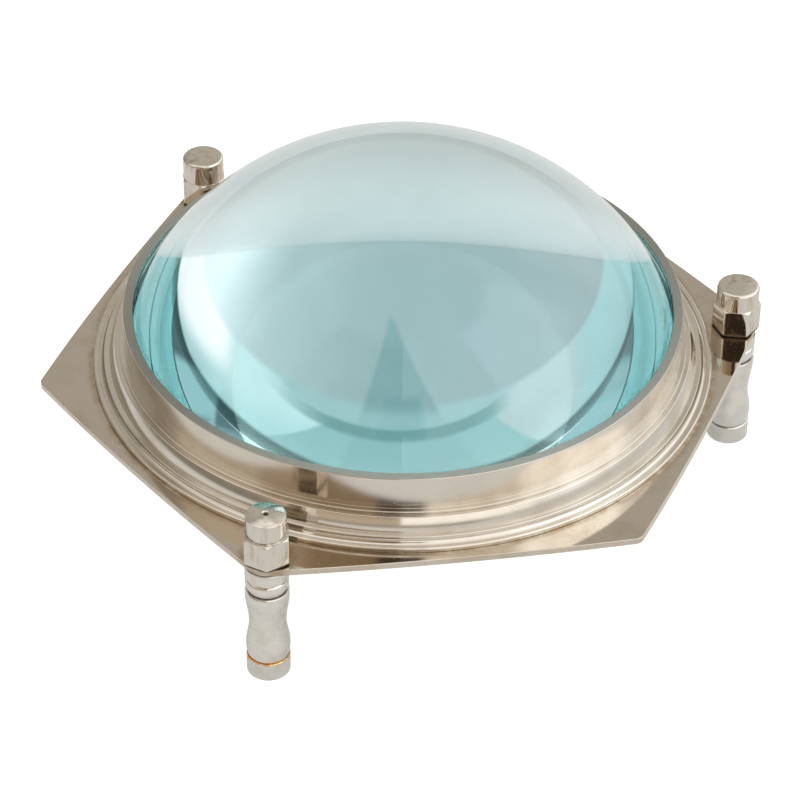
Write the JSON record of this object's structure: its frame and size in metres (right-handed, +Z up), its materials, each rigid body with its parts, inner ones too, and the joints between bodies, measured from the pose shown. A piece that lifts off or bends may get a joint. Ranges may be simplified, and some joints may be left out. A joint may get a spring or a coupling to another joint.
{
  "type": "dome magnifier",
  "caption": "Solid glass dome magnifier in a stepped nickel ring, on a six-sided plate with bowed sides and turned legs.",
  "frame": {"origin": "On the lens axis, at the level of the surface that the feet stand on.", "axes": "+Z is up along the lens axis. -Y points at leg 1, and +Y at the plate's free corner opposite it."},
  "size_m": [0.1522, 0.1728, 0.0843],
  "materials": {
    "polished_nickel": "mirror polished nickel plate, faint polishing lines",
    "satin_nickel": "satin nickel plate with turning marks",
    "stud_brass": "plain turned brass",
    "dome_glass": "clear polished glass with a blue-green tint",
    "seat_rubber": "matt black seat ring"
  },
  "bodies": {
    "frame": {"base_plate": "polished_nickel", "moulding_ring": "polished_nickel", "bezel_ring": "polished_nickel", "lens_seat_ring": "seat_rubber", "stud_1": "stud_brass", "stud_2": "stud_brass", "stud_3": "stud_brass", "collar_1": "satin_nickel", "collar_2": "satin_nickel", "collar_3": "satin_nickel", "bead_ring_1": "polished_nickel", "bead_ring_2": "polished_nickel", "bead_ring_3": "polished_nickel", "leg_1": "satin_nickel", "leg_2": "satin_nickel", "leg_3": "satin_nickel"},
    "lens": {"dome_lens": "dome_glass"},
    "cap_1": {"cap_nut_1": "polished_nickel"},
    "cap_2": {"cap_nut_2": "polished_nickel"},
    "cap_3": {"cap_nut_3": "polished_nickel"},
    "tip_1": {"foot_tip_1": "satin_nickel"},
    "tip_2": {"foot_tip_2": "satin_nickel"},
    "tip_3": {"foot_tip_3": "satin_nickel"}
  },
  "joints": [
    {"name": "lens_lift", "type": "slide", "parent": "frame", "child": "lens", "axis": [0, 0, 1], "range_m": [0, 0.02]},
    {"name": "cap_turn_1", "type": "hinge", "parent": "frame", "child": "cap_1", "pos_m": [0, -0.0812, 0.04], "axis": [0, 0, 1], "continuous": true},
    {"name": "cap_turn_2", "type": "hinge", "parent": "frame", "child": "cap_2", "pos_m": [0.07032, 0.0406, 0.04], "axis": [0, 0, 1], "continuous": true},
    {"name": "cap_turn_3", "type": "hinge", "parent": "frame", "child": "cap_3", "pos_m": [-0.07032, 0.0406, 0.04], "axis": [0, 0, 1], "continuous": true},
    {"name": "tip_turn_1", "type": "hinge", "parent": "frame", "child": "tip_1", "pos_m": [0, -0.0812, 0.003], "axis": [0, 0, 1], "continuous": true},
    {"name": "tip_turn_2", "type": "hinge", "parent": "frame", "child": "tip_2", "pos_m": [0.07032, 0.0406, 0.003], "axis": [0, 0, 1], "continuous": true},
    {"name": "tip_turn_3", "type": "hinge", "parent": "frame", "child": "tip_3", "pos_m": [-0.07032, 0.0406, 0.003], "axis": [0, 0, 1], "continuous": true}
  ]
}
